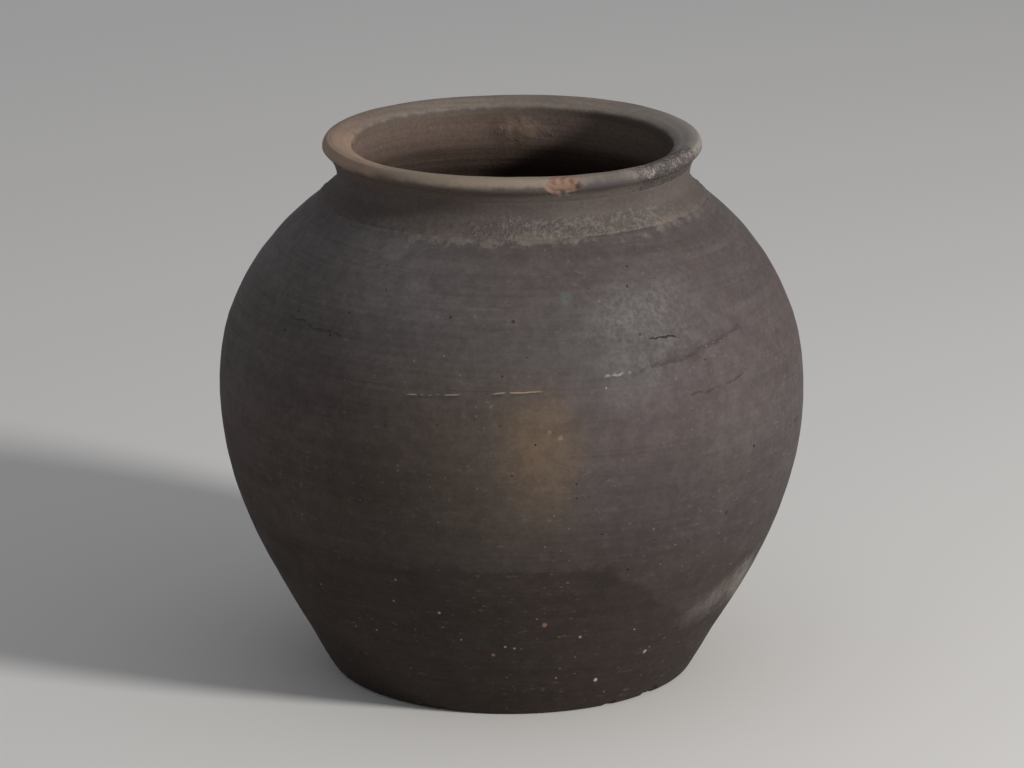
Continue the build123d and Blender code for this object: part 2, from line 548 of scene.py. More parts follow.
@dataclass(frozen=True)
class SmokedSkin(Finish):
    """The outside of the body: smoke-grey clay with fire clouds, scuffs, cracks and grit, and painted shade
    and light low down and on the left.
    """

    name: str = "smoked_skin"
    ground: tuple = (0.074, 0.063, 0.063)
    roughness: float = 0.74
    specular: float = 0.26
    brown: tuple = (0.060, 0.044, 0.036)
    # Laid low down: partly the fire's smoke, partly painted shade.
    dark: tuple = (0.0235, 0.0148, 0.0102)
    # Patch: angle, height, half width, half height, colour, strength, softness, ragged, grain
    # Hairline: angle, height, half length, thickness, colour, strength, slant, wander, breaks
    marks: tuple = (
        Patch(4.6, 147, 15, 23, (0.175, 0.108, 0.06), 0.6, 0.95, 0.22, 60),
        Patch(-6, 140, 42, 44, (0.078, 0.064, 0.046), 0.4, 0.8, 0.3, 40),
        Patch(30, 196, 30, 20, (0.135, 0.128, 0.128), 0.5, 0.55, 0.5, 90, slant=8, mottled=0.75),
        Patch(26, 205, 22, 6, (0.15, 0.14, 0.14), 0.35, 0.6, 0.5, 140, slant=12, mottled=0.9),
        Patch(35, 160, 34, 16, (0.08, 0.06, 0.062), 0.5, 0.6, 0.4, 90, slant=10),
        Patch(44, 136, 30, 24, (0.092, 0.08, 0.062), 0.34, 0.7, 0.4, 110, mottled=0.35),
        Patch(52, 178, 26, 30, (0.098, 0.08, 0.08), 0.35, 0.7, 0.5, 70, slant=20, mottled=0.5),
        Patch(54, 112, 24, 20, (0.044, 0.034, 0.034), 0.52, 0.7, 0.6, 120, slant=35, mottled=0.4),
        Patch(30, 116, 36, 24, (0.046, 0.036, 0.037), 0.58, 0.7, 0.5, 60, slant=25),
        Patch(-20, 116, 42, 30, (0.04, 0.027, 0.02), 0.42, 0.8, 0.3, 40),
        Patch(6, 83, 58, 3, (0.026, 0.019, 0.016), 0.35, 0.7, 0.5, 120),
        Patch(19, 80, 9, 7, (0.02, 0.015, 0.014), 0.55, 0.5, 0.7, 160),
        Patch(24, 170, 14, 9, (0.11, 0.098, 0.092), 0.5, 0.6, 0.6, mottled=0.6),
        Patch(-40.6, 228.9, 4, 2.2, (0.17, 0.15, 0.13), 0.35, 0.7, 0.5),
        Patch(-32.1, 229, 5.5, 4, (0.16, 0.145, 0.13), 0.38, 0.7, 0.5),
        Patch(-23.9, 215.8, 5, 3, (0.13, 0.118, 0.105), 0.35, 0.7, 0.5),
        Patch(12.4, 212.6, 3, 2.4, (0.088, 0.112, 0.103), 0.45, 0.6, 0.5, 400),
        Patch(56, 53, 17, 8, (0.2, 0.18, 0.165), 0.46, 0.7, 0.6, 120, slant=20, mottled=0.45),
        Patch(67, 55, 10, 12, (0.27, 0.245, 0.215), 0.5, 0.6, 0.7, 160, slant=20, mottled=0.6),
        Patch(79, 52, 15, 15, (0.24, 0.22, 0.19), 0.5, 0.6, 0.7, 160, slant=15, mottled=0.7),
        Hairline(-15, 172, 14, 0.3, PALE_LINE, 0.75, 3.5, 0.25, 0.42, below=(0.018, 0.014, 0.012)),
        Hairline(1, 174, 13, 0.32, PALE_LINE, 0.7, 1.5, 0.25, 0.4, below=(0.018, 0.014, 0.012)),
        Hairline(32.5, 192.6, 8.5, 0.26, SOOT, 0.9, -5, 0.9, 0.34, depth=0.6),
        Hairline(40, 184.6, 40, 0.75, (0.03, 0.022, 0.023), 0.45, 7.5, 1.4, 0.36, depth=0.25),
        Patch(41, 185.2, 26, 3.2, (0.042, 0.031, 0.032), 0.4, 0.8, 0.7, 150, slant=8),
        Hairline(43, 166.6, 28, 0.5, (0.03, 0.022, 0.022), 0.5, 6, 1.2, 0.4, depth=0.25),
        Hairline(21, 180, 7.5, 0.6, (0.3, 0.275, 0.255), 0.6, 4, 0.8, 0.45, depth=-0.1),
        Hairline(-6, 208.6, 10, 0.35, (0.115, 0.106, 0.105), 0.5, 0, 0.2, 0.35, depth=0.05),
        Hairline(-44, 193, 24, 0.5, (0.02, 0.016, 0.015), 0.5, -6, 1.2, 0.42, depth=0.2),
        fleck(18.3, 174.3, 0.5, (0.3, 0.27, 0.25)), fleck(4.3, 150.2, 0.43, SOOT, -0.4),
        fleck(9, 153, 1.15, (0.17, 0.125, 0.085)), fleck(7, 156, 0.86, (0.16, 0.12, 0.085)),
        fleck(24, 83.2, 0.65, SOOT, -0.6), fleck(53.4, 132.9, 0.58, SOOT, -0.5),
        fleck(61.2, 112.4, 0.58, SOOT, -0.5), fleck(-1.9, 181.2, 0.36, SOOT, -0.3),
        fleck(-40.2, 191.2, 0.43, SOOT, -0.3), fleck(-53.4, 187.9, 0.58, SOOT, -0.3),
        fleck(-16.1, 61.2, 0.65, LIME, 0.1), fleck(-26.5, 65, 0.5, ASH, 0.1), fleck(-34.2, 44.8, 0.58, ASH),
        fleck(-24.8, 77.4, 0.58, ASH), fleck(-1.6, 42.6, 0.58, LIME), fleck(0.6, 41.6, 0.58, LIME),
        fleck(-4.6, 37.4, 0.79, RED_CLAY), fleck(7.4, 55.6, 1.22, RED_CLAY, -0.3),
        fleck(16.1, 46.9, 0.72, LIME, 0.1), fleck(36.4, 31.1, 0.94, LIME, 0.1),
        fleck(23.7, 18.3, 0.86, (0.5, 0.42, 0.33), 0.1), fleck(-12, 46, 0.58, ASH),
        fleck(30, 47, 0.43, LIME), fleck(12, 22, 0.5, ASH),
    )

    def dress(self, clay: ClayRecipe) -> None:
        """Lay smoke with painted shade and light, wiping lines, crumbs from the collar, marks and grit, in
        that order.
        """
        self.smoke(clay)
        wiping = clay.effect(Effect.WIPING, spacing=1.5 * MM)
        clay.shade(wiping["Lines"], 0.3, 0.7, 0.93, 1.07)
        clay.shade(wiping["Streaks"], 0.0, 1.0, 0.93, 1.07)
        clay.raise_by(wiping["Lines"], 0.07)
        clay.raise_by(wiping["Streaks"], 0.10)
        self.spill(clay)
        self.lay_marks(clay)
        self.scatter(clay)
        clay.shade(clay.clouds["Mottle"], 0.0, 1.0, 0.90, 1.09)
        clay.shade(clay.grain["Coarse"], 0.25, 0.75, 0.90, 1.10)
        clay.raise_by(clay.grain["Fine"], 0.05)
        clay.raise_by(clay.grain["Coarse"], 0.07)
        sheen = clay.ramp(clay.clouds["Middle"], 0.0, 1.0, -0.05, 0.07)
        clay.roughness = clay.math("ADD", clay.roughness, sheen)

    def smoke(self, clay: ClayRecipe) -> None:
        """Cloud the ground with smoke and darken it low down, partly smoke and partly painted shade; add
        painted shade and bounce light on the lower left and painted fill light on the upper left.
        """
        clay.stain(self.brown, clay.clouds["Broad"], 0.55)
        clay.stain((0.085, 0.060, 0.058), clay.clouds["Blush"], 0.25)
        # Painted shade warmed by painted bounce light on the lower left.
        left = clay.ramp(clay.away(clay.angle, -1.05), 1.15, 0.15)
        clay.stain((0.043, 0.025, 0.0165), left, clay.ramp(clay.height, 0.20, 0.11), 0.50)
        # Darker below a ragged line near the waist and towards the foot: partly the fire's smoke, partly
        # painted shade.
        edge = clay.wobbled(clay.height, clay.clouds["Middle"], 0.006)
        waist = clay.ramp(clay.away(clay.angle, 1.5), 1.3, 0.55, 0.0865, 0.040)
        below = clay.ramp(edge, clay.math("ADD", waist, 0.0018), clay.math("SUBTRACT", waist, 0.0022))
        clay.stain(self.dark, below, 0.58)
        clay.stain(self.dark, clay.ramp(clay.height, 0.155, 0.06), 0.58)
        clay.stain(self.dark, clay.ramp(clay.height, 0.055, 0.012), 0.38)
        # Painted fill light: a lighter tone on the upper left shoulder, on the shaded side.
        painted_fill_light = clay.ramp(clay.away(clay.angle, -1.2), 1.5, 0.5)
        clay.stain((0.114, 0.100, 0.099), clay.ramp(clay.height, 0.165, 0.225), painted_fill_light, 0.66)

    def spill(self, clay: ClayRecipe) -> None:
        """Smear pale luting clay and crumbs from the collar's seam on to the shoulder."""
        edge = clay.wobbled(clay.height, clay.clouds["Mottle"], 0.003)
        front = clay.ramp(clay.away(clay.angle, 0.25), 1.2, 0.5)
        broken = clay.ramp(clay.noise(clay.point, 75.0, 4.0, 0.6), 0.42, 0.58)
        smear = clay.product(clay.ramp(edge, 0.2318, 0.2345), front, broken)
        clay.stain((0.150, 0.128, 0.106), smear, 0.62)
        clay.raise_by(smear, 0.3)

    def scatter(self, clay: ClayRecipe) -> None:
        """Scatter grit, dust, small pits and scuffs over the whole body."""
        low = clay.ramp(clay.height, 0.15, 0.04, 0.35, 1.0)
        crowd = clay.ramp(clay.noise(clay.point, 26.0, 2.0), 0.38, 0.60, 0.30, 1.0)
        grit = clay.effect(Effect.SPECKS, scale=120.0, share=0.13, size=0.10)["Mask"]
        clay.stain(ASH, grit, low, crowd, 0.9)
        dust = clay.effect(Effect.SPECKS, scale=280.0, share=0.26, size=0.19, shift=(0.31, 0.7, 0.11))
        clay.stain((0.18, 0.162, 0.145), dust["Mask"], crowd, 0.60)
        pits = clay.effect(Effect.SPECKS, scale=170.0, share=0.20, size=0.15, shift=(0.9, 0.2, 0.5))["Mask"]
        clay.stain(SOOT, pits, crowd, 0.8)
        clay.raise_by(pits, crowd, -0.35)
        scuffs = clay.noise(clay.stretch(clay.point, (1.0, 1.0, 2.6)), 190.0, 5.0, 0.7)
        clay.stain((0.15, 0.138, 0.13), clay.ramp(scuffs, 0.58, 0.72), crowd, 0.45)


@dataclass(frozen=True)
class NeckCrust(Finish):
    """The outside of the collar: smoked clay with a crumbly ashy band and a pale luting smear."""

    name: str = "neck_crust"
    ground: tuple = (0.082, 0.066, 0.060)
    roughness: float = 0.82
    specular: float = 0.22

    def dress(self, clay: ClayRecipe) -> None:
        """Lay the ashy band and the luting smear, both strongest at the front."""
        clay.stain((0.105, 0.088, 0.078), clay.clouds["Middle"], 0.5)
        front = clay.ramp(clay.away(clay.angle, 0.42), 1.1, 0.35, 0.12, 1.0)
        band = clay.ramp(clay.height, 0.2500, 0.2405)
        crust = clay.effect(Effect.CRUST, amount=clay.product(front, band, 0.95))
        clay.stain((0.178, 0.158, 0.142), crust["Mask"], 0.50)
        clay.raise_by(crust["Rise"], 0.26)
        seam = clay.ramp(clay.wobbled(clay.height, clay.clouds["Mottle"], 0.002), 0.2392, 0.2358)
        broken = clay.ramp(clay.noise(clay.point, 75.0, 4.0, 0.6), 0.45, 0.62)
        clay.stain((0.175, 0.142, 0.110), seam, front, broken, 0.6)
        clay.shade(clay.grain["Coarse"], 0.25, 0.75, 0.86, 1.14)
        clay.raise_by(clay.grain["Coarse"], 0.16)
        clay.raise_by(clay.grain["Fine"], 0.06)


@dataclass(frozen=True)
class RubbedRim(Finish):
    """The rolled lip: rubbed and dusty on top with painted light on its right, smoked on its outer edge,
    bare clay in the chips.
    """

    name: str = "rubbed_rim"
    ground: tuple = (0.185, 0.152, 0.124)
    roughness: float = 0.72
    specular: float = 0.28
    marks: tuple = (
        Patch(-18, 262.4, 52, 3.4, (0.275, 0.222, 0.17), 0.55, 0.5, 0.4, 120),
        Patch(56, 261, 34, 4.2, (0.105, 0.09, 0.088), 0.55, 0.6, 0.7, 180, mottled=0.5),
        # Painted light: a lighter tone on the right of the top.
        Patch(88, 263.4, 60, 2.6, (0.26, 0.238, 0.215), 0.5, 0.5, 0.5, 120),
        Patch(-70, 261, 40, 4, (0.31, 0.21, 0.15), 0.7, 0.5, 0.4, 120),
        Patch(29, 259, 14, 3.5, (0.045, 0.042, 0.048), 0.6, 0.6, 0.4, 150),
        Patch(58, 262, 17, 4.5, (0.12, 0.11, 0.104), 0.6, 0.5, 0.8, 260, mottled=0.9),
        Patch(15, 259.6, 8.8, 4.2, (0.2, 0.122, 0.088), 1, 0.12, 0.16, 260),
        Patch(19.9, 258.9, 2, 1.6, (0.05, 0.034, 0.027), 0.7, 0.4, 0.6, 500),
        Patch(45.5, 259.6, 2.8, 1.9, (0.26, 0.235, 0.215), 0.8, 0.35, 0.5, 500),
    )

    def dress(self, clay: ClayRecipe) -> None:
        """Warm the left, smoke the edges, lay the marks, one of them painted light, and roughen the worn
        stretch.
        """
        wiping = clay.effect(Effect.WIPING, spacing=0.8 * MM)
        left = clay.ramp(clay.away(clay.angle, -1.15), 1.5, 0.5)
        clay.stain((0.235, 0.158, 0.112), left, 0.75)
        clay.stain((0.120, 0.100, 0.088), clay.clouds["Middle"], 0.35)
        clay.shade(wiping["Lines"], 0.3, 0.7, 0.92, 1.08)
        edge = clay.wobbled(clay.height, clay.clouds["Mottle"], 0.0016)
        outer = clay.ramp(clay.radius, 0.082, 0.086)
        clay.stain((0.050, 0.040, 0.037), clay.ramp(edge, 0.2608, 0.2585), outer, 0.7)
        throat = clay.ramp(clay.radius, 0.0815, 0.0790)
        clay.stain((0.062, 0.047, 0.040), clay.ramp(edge, 0.2618, 0.2596), throat, 0.6)
        clay.shade(clay.grain["Coarse"], 0.25, 0.75, 0.88, 1.12)
        clay.raise_by(clay.grain["Coarse"], 0.10)
        clay.raise_by(clay.grain["Fine"], 0.05)
        self.lay_marks(clay)
        worn = clay.ramp(clay.away(clay.angle, 1.02), 0.55, 0.2)
        crust = clay.effect(Effect.CRUST, amount=clay.product(worn, 0.9))
        clay.stain((0.055, 0.046, 0.044), crust["Mask"], worn, 0.80)
        clay.raise_by(crust["Rise"], worn, -0.5)


@dataclass(frozen=True)
class InnerWall(Finish):
    """The inside: brownish, streaked by fingers, with painted shade darker with depth and painted light on
    the back right.
    """

    name: str = "inner_wall"
    ground: tuple = (0.125, 0.090, 0.072)
    roughness: float = 0.8
    specular: float = 0.2
    marks: tuple = (
        # Painted fill light in the shaded back right of the inside.
        Patch(138, 248, 34, 13, (0.190, 0.142, 0.120), 0.6, 0.8, 0.4, 90),
        Patch(176, 249.5, 11, 5, (0.200, 0.145, 0.105), 0.55, 0.4, 0.8, 260, mottled=0.8, relief=0.3),
    )

    def dress(self, clay: ClayRecipe) -> None:
        """Lay smoke, painted shade deeper down, finger streaks, thin crumbs and the marks, one of them
        painted light.
        """
        wiping = clay.effect(Effect.WIPING, spacing=2.2 * MM)
        clay.stain((0.062, 0.048, 0.041), clay.clouds["Broad"], 0.5)
        # Painted shade: darker deeper inside, below the throat.
        clay.stain((0.050, 0.032, 0.026), clay.ramp(clay.height, 0.247, 0.236), 0.4)
        clay.shade(wiping["Lines"], 0.3, 0.7, 0.90, 1.10)
        clay.shade(wiping["Streaks"], 0.0, 1.0, 0.86, 1.14)
        clay.stain((0.150, 0.098, 0.076), clay.clouds["Blush"], 0.35)
        clay.raise_by(wiping["Lines"], 0.14)
        clay.raise_by(wiping["Streaks"], 0.28)
        crust = clay.effect(Effect.CRUST, amount=0.25)
        clay.stain((0.20, 0.155, 0.115), crust["Mask"], 0.5)
        clay.raise_by(crust["Rise"], 0.3)
        self.lay_marks(clay)
        clay.shade(clay.grain["Coarse"], 0.25, 0.75, 0.85, 1.15)
        clay.raise_by(clay.grain["Coarse"], 0.2)


@dataclass(frozen=True)
class FootFace(Finish):
    """The underside: sandy clay, rubbed pale in a ring where it stands."""

    name: str = "foot_face"
    ground: tuple = (0.052, 0.040, 0.034)
    roughness: float = 0.86
    specular: float = 0.2

    def dress(self, clay: ClayRecipe) -> None:
        """Lay smoke, the rubbed ring and grit."""
        clay.stain((0.088, 0.064, 0.050), clay.clouds["Middle"], 0.6)
        ring = clay.product(clay.ramp(clay.radius, 0.060, 0.080), clay.ramp(clay.radius, 0.0885, 0.0845))
        clay.stain((0.175, 0.135, 0.105), ring, clay.ramp(clay.clouds["Mottle"], 0.2, 0.7), 0.75)
        grit = clay.effect(Effect.SPECKS, scale=170.0, share=0.3, size=0.22)["Mask"]
        clay.stain(ASH, grit, 0.6)
        clay.shade(clay.grain["Coarse"], 0.25, 0.75, 0.82, 1.18)
        clay.raise_by(clay.grain["Coarse"], 0.3)
        clay.raise_by(grit, 0.25)


@dataclass(frozen=True)
class ScoredJoint(Finish):
    """The hidden faces of a joint: bare clay, scored and wetted before luting."""

    name: str = "scored_joint"
    ground: tuple = (0.15, 0.105, 0.078)
    roughness: float = 0.9
    specular: float = 0.2

    def dress(self, clay: ClayRecipe) -> None:
        """Lay the scoring."""
        wiping = clay.effect(Effect.WIPING, spacing=3.0 * MM)
        clay.shade(clay.grain["Coarse"], 0.25, 0.75, 0.75, 1.2)
        clay.shade(wiping["Lines"], 0.4, 0.6, 0.7, 1.1)
        clay.raise_by(wiping["Lines"], 0.6)


# --- The jar's section ---


class Side(Enum):
    """Which surface of the wall a stretch of the section belongs to."""

    OUTSIDE = 0
    INSIDE = 1
    JOINT = 2
    UNDERSIDE = 3


@dataclass
class Station:
    """One point of the section, as radius and height, with the way its surface faces."""

    radius: float
    height: float
    side: Side
    facing: Vector

    def towards(self, other: "Station", share: float) -> "Station":
        """Return the station that lies a share of the way to another one, on this one's side."""
        facing = self.facing.lerp(other.facing, share).normalized()
        radius = self.radius + (other.radius - self.radius) * share
        return Station(radius, self.height + (other.height - self.height) * share, self.side, facing)


def smooth_line(knots: list[tuple], start: tuple, end: tuple, spacing: float) -> list[Vector]:
    """Bend a smooth line through a few knots.

    Args:
        knots: points as (radius, height).
        start: the line's direction at its first knot.
        end: its direction at its last knot.
        spacing: about how far apart the returned points are.

    Returns:
        Points along the line, both ends included.
    """
    spots = [Vector((r, 0.0, z)) for r, z in knots]
    gaps = [(b - a).length for a, b in zip(spots, spots[1:])]
    steps = [(b - a) / gap for a, b, gap in zip(spots, spots[1:], gaps)]
    slopes = [Vector((start[0], 0.0, start[1])).normalized()]
    for before, after, gap, next_gap in zip(steps, steps[1:], gaps, gaps[1:]):
        slopes.append((before * next_gap + after * gap) / (gap + next_gap))
    slopes.append(Vector((end[0], 0.0, end[1])).normalized())
    line = [spots[0]]
    for i, gap in enumerate(gaps):
        near = spots[i] + slopes[i] * gap / 3.0
        far = spots[i + 1] - slopes[i + 1] * gap / 3.0
        count = max(2, math.ceil(gap / spacing)) + 1
        line += interpolate_bezier(spots[i], near, far, spots[i + 1], count)[1:]
    return line


@dataclass(frozen=True)
class ClaySection:
    """The section of the whole jar, in metres, with its height and belly radius read from the frame's
    parts.
    """

    height: float
    belly: float
    belly_height: float = 138.0 * MM
    foot: float = 86.0 * MM
    foot_edge: tuple = (89.3 * MM, 1.8 * MM)
    lower_wall: tuple = ((102.6, 25.0), (117.1, 50.0), (131.1, 80.0), (139.9, 110.0))
    upper_wall: tuple = ((139.1, 170.0), (129.0, 195.0), (114.9, 215.0), (103.8, 226.0))
    collar: tuple = (93.5, 235.0)
    neck: tuple = (85.2, 245.5)
    lip_hollow: tuple = (88.0, 254.9)
    lip: tuple = (91.7, 259.8)
    lip_turn: tuple = ((91.0, 262.4), (89.65, 263.8))
    crown: float = 88.0
    dish: tuple = ((85.6, 263.8), (83.0, 263.1), (80.0, 262.1))
    mouth: tuple = (77.4, 260.0)
    throat: tuple = (78.0, 245.5)
    floor: tuple = (77.0, 10.0)
    floor_edge: tuple = (88.6, 16.2)
    wall: float = 8.0 * MM

    def outside(self) -> list[Station]:
        """Draw the outer surface, from the middle of the underside to the crown of the lip."""
        underside = [Vector((self.foot * i / 24, 0.0, 0.0)) for i in range(25)]
        edge = smooth_line([(self.foot, 0.0), self.foot_edge], (1, 0), (0.56, 0.83), 0.7 * MM)
        knots = [self.foot_edge, *self.metres(self.lower_wall), (self.belly, self.belly_height)]
        knots += self.metres((*self.upper_wall, self.collar))
        body = smooth_line(knots, (0.56, 0.83), (-1.0, 0.95), 1.25 * MM)
        neck = smooth_line(self.metres((self.collar, self.neck)), (-1.0, 0.95), (0, 1), 0.7 * MM)
        under = smooth_line(self.metres((self.neck, self.lip_hollow, self.lip)), (0, 1), (0, 1), 0.7 * MM)
        over = smooth_line(
            [*self.metres((self.lip, *self.lip_turn)), (self.crown * MM, self.height)],
            (0, 1), (-1, 0), 0.6 * MM,
        )
        line = underside[:-1] + edge[:-1] + body[:-1] + neck[:-1] + under[:-1] + over
        found = self.stations(line, Side.OUTSIDE)
        for station in found[:len(underside) - 1]:
            station.side = Side.UNDERSIDE
        return found

    def inside(self) -> list[Station]:
        """Draw the inner surface, from the crown of the lip down to the middle of the floor."""
        lip = smooth_line(
            [(self.crown * MM, self.height), *self.metres((*self.dish, self.mouth))],
            (-1, 0), (0, -1), 0.7 * MM,
        )
        throat = smooth_line(self.metres((self.mouth, self.throat)), (0, -1), (0.12, -1), 1.2 * MM)
        knots = [*self.metres((self.throat,)), *reversed(self.shell()), *self.metres((self.floor_edge,))]
        wall = smooth_line(knots, (0.12, -1), (-0.55, -0.83), 3.0 * MM)
        corner = smooth_line(self.metres((self.floor_edge, self.floor)), (-0.8, -0.6), (-1, 0), 1.5 * MM)
        floor = [Vector((self.floor[0] * MM * (1 - i / 16), 0.0, self.floor[1] * MM)) for i in range(17)]
        line = lip[:-1] + throat[:-1] + wall[:-1] + corner[:-1] + floor
        return self.stations(line, Side.INSIDE)

    def shell(self) -> list[tuple]:
        """Give the knots of the inner wall, one wall thickness inside those of the outer wall."""
        knots = self.metres(self.lower_wall[1:])
        knots += [(self.belly, self.belly_height), *self.metres(self.upper_wall)]
        outer = self.outside()
        found = []
        for r, z in knots:
            near = min(outer, key=lambda spot: math.hypot(spot.radius - r, spot.height - z))
            found.append((near.radius - near.facing.x * self.wall, near.height - near.facing.z * self.wall))
        return found

    @staticmethod
    def metres(points: tuple) -> list[tuple]:
        """Turn (radius, height) pairs in millimetres into metres."""
        return [(r * MM, z * MM) for r, z in points]

    @staticmethod
    def stations(line: list[Vector], side: Side) -> list[Station]:
        """Turn a line into stations that know which way the clay's surface faces.

        Args:
            line: the points in order, with the clay on their left.
            side: the surface that the line belongs to.

        Returns:
            One station a point.
        """
        found = []
        for i, spot in enumerate(line):
            ahead = line[min(i + 1, len(line) - 1)] - line[max(i - 1, 0)]
            facing = Vector((ahead.z, 0.0, -ahead.x)).normalized()
            found.append(Station(spot.x, spot.z, side, facing))
        return found


def stretch_between(line: list[Station], low: float, high: float) -> list[Station]:
    """Cut out the stretch of a rising or falling line that lies between two heights.

    Args:
        line: stations in order.
        low: the lower height.
        high: the upper height.

    Returns:
        The stretch, with new stations exactly at the two heights where the line crosses them.
    """
    found: list[Station] = []
    for a, b in zip(line, line[1:] + line[-1:]):
        if low <= a.height <= high:
            found.append(a)
        cuts = [cut for cut in (low, high) if min(a.height, b.height) < cut < max(a.height, b.height)]
        for cut in sorted(cuts, reverse=a.height > b.height):
            station = a.towards(b, (cut - a.height) / (b.height - a.height))
            station.height = cut
            found.append(station)
    return without_crowding(found)


def without_crowding(line: list[Station], least: float = 0.05 * MM) -> list[Station]:
    """Drop stations that lie closer to the one before than the least spacing."""
    kept = line[:1]
    for station in line[1:]:
        last = kept[-1]
        if math.hypot(station.radius - last.radius, station.height - last.height) > least:
            kept.append(station)
    return kept


# --- How hands and wear change the true shape ---


def angle_of(place: Vector) -> float:
    """Give a point's angle to the right of the front, in radians."""
    return math.atan2(place.x, -place.y)


def angle_between(start: float, end: float) -> float:
    """Give the shorter way round from one angle to another, in radians."""
    return (end - start + math.pi) % math.tau - math.pi


@dataclass(frozen=True)
class Chip:
    """A flake knocked off the clay. Angle in degrees right of the front, lengths in millimetres."""

    angle: float
    height: float
    half_width: float
    half_height: float
    depth: float
    jagged: float = 0.35

    def reach(self, turn: float, place: Vector, radius: float) -> float:
        """Say how far a point is from the chip's middle, where 1 is its edge, ragged by noise."""
        u = angle_between(math.radians(self.angle), turn) * radius / (self.half_width * MM)
        v = (place.z - self.height * MM) / (self.half_height * MM)
        if abs(u) > 2.0 or abs(v) > 2.0:
            return 9.0
        return math.hypot(u, v) + self.jagged * noise.noise(place * 420.0)

    def depth_at(self, reach: float, place: Vector) -> float:
        """Give how much clay is gone at a point of the chip, in metres."""
        if reach >= 1.0:
            return 0.0
        bowl = min(1.0, 2.6 * (1.0 - reach)) * (0.75 + 0.25 * (1.0 - reach * reach))
        broken = 1.0 + 0.16 * noise.noise(place * 380.0) + 0.10 * noise.noise(place * 1100.0)
        return self.depth * MM * bowl * broken


@dataclass(frozen=True)
class PotterHands:
    """The marks of hand work on the shape: lean, ovality, throwing ridges, ledges and chips."""

    lean: tuple = (
        (0, 0.1), (55, 0.6), (110, 0.35), (180, -0.4), (215, 0.0), (246, 0.6), (260, 0.0), (270, 0.0),
    )
    seams: tuple = ((7.0, 0.10), (87.0, 0.05), (174.5, 0.12), (235.0, 0.25), (251.5, 0.15))
    chips: tuple = (
        Chip(15.0, 259.6, 9.0, 4.4, 1.25, jagged=0.28),
        Chip(45.5, 259.4, 2.6, 1.8, 0.7),
        Chip(54.0, 262.6, 5.0, 1.6, 0.35, jagged=0.8),
        Chip(63.0, 262.2, 6.0, 1.8, 0.3, jagged=0.8),
        Chip(51.0, 259.6, 4.5, 1.5, 0.45, jagged=0.9),
        Chip(58.5, 258.8, 6.0, 1.4, 0.50, jagged=0.9),
        Chip(67.0, 260.6, 5.0, 1.6, 0.40, jagged=0.9),
        Chip(-66.0, 257.4, 6.5, 1.3, 0.8, jagged=0.6),
        Chip(-118.0, 260.5, 5.0, 2.4, 0.8),
        Chip(152.0, 261.5, 4.0, 2.0, 0.6),
        Chip(48.4, 1.6, 5.5, 2.6, 1.0),
        Chip(32.0, 1.4, 3.0, 1.8, 0.6),
        Chip(-22.0, 1.2, 2.6, 1.6, 0.5),
        Chip(-135.0, 1.4, 5.0, 2.2, 0.8),
        Chip(111.0, 1.2, 3.5, 2.0, 0.6),
    )

    def shift(self, height: float) -> float:
        """Give how far the jar's middle leans to the right at a height, in metres."""
        for (z0, x0), (z1, x1) in zip(self.lean, self.lean[1:]):
            if height <= z1 * MM:
                share = max(0.0, (height / MM - z0) / (z1 - z0))
                share = share * share * (3.0 - 2.0 * share)
                return (x0 + (x1 - x0) * share) * MM
        return 0.0

    def settle(self, place: Vector, facing: Vector, side: Side) -> Vector:
        """Move one point of the true shape to where the hands left it.

        Args:
            place: the point on the true shape.
            facing: the way its surface faces.
            side: the surface that it lies on.

        Returns:
            The moved point.
        """
        turn = angle_of(place)
        height = place.z
        grounded = min(1.0, height / (6.0 * MM))
        moved = place.copy()
        moved.x += self.shift(height) * grounded
        oval = 0.35 * math.cos(2.0 * turn + 0.8) + 0.2 * math.cos(3.0 * turn - 0.5)
        push = oval * min(1.0, height / 0.08)
        if side is not Side.JOINT:
            push += self.hand_relief(place, turn, height, side) * grounded
        if side is Side.OUTSIDE:
            push -= self.chipping(place, turn, math.hypot(place.x, place.y)) / MM
        moved += facing * push * MM
        if height > 0.24:
            share = min(1.0, (height - 0.24) / 0.02)
            wave = 0.35 * noise.noise(Vector((math.cos(turn), math.sin(turn), 4.2)) * 1.3)
            moved.z += (wave - 0.25 - 0.75 * math.cos(turn)) * share * MM
        moved.z = max(moved.z, 0.0)
        return moved

    def hand_relief(self, place: Vector, turn: float, height: float, side: Side) -> float:
        """Give the ridges, swells and seam dips of the wall at a point, in millimetres."""
        wound = height + SPIRAL_RISE * math.sin(turn)
        if side is Side.INSIDE:
            ridges = 0.55 * noise.noise(Vector((0.0, 2.0, wound * 95.0))) + 0.25 * noise.noise(place * 60.0)
            lump = max(0.0, 1.0 - math.hypot(abs(turn) - 3.09, (height - 0.2492) / 0.075) / 0.11)
            flakes = 0.7 * abs(noise.noise(place * 320.0))
            return ridges + lump * (0.9 + flakes)
        ridges = 0.10 * noise.noise(Vector((0.0, 7.0, wound * 150.0)))
        swells = 0.45 * noise.noise(place * 17.0) + 0.16 * noise.noise(place * 55.0)
        fine = 0.035 * noise.noise(place * 260.0)
        relief = ridges + swells + fine
        ledge = (height - 0.1745) / 0.006
        if 0.0 <= ledge < 1.0:
            relief += 0.16 * (1.0 - ledge) ** 2
        for seam, depth in self.seams:
            gap = abs(height - seam * MM) / (0.9 * MM)
            if gap < 1.0:
                relief -= depth * (1.0 - gap) * (0.8 + 0.6 * noise.noise(place * 150.0))
        if 0.2335 < height < 0.2435:
            band = min(1.0, (0.2435 - height) / 0.004)
            relief += band * (0.22 + 0.5 * max(0.0, noise.noise(place * 310.0)))
        return relief

    def chipping(self, place: Vector, turn: float, radius: float) -> float:
        """Give how much clay the chips have taken at a point, in metres."""
        return max(chip.depth_at(chip.reach(turn, place, radius), place) for chip in self.chips)


# --- The six clay pieces ---


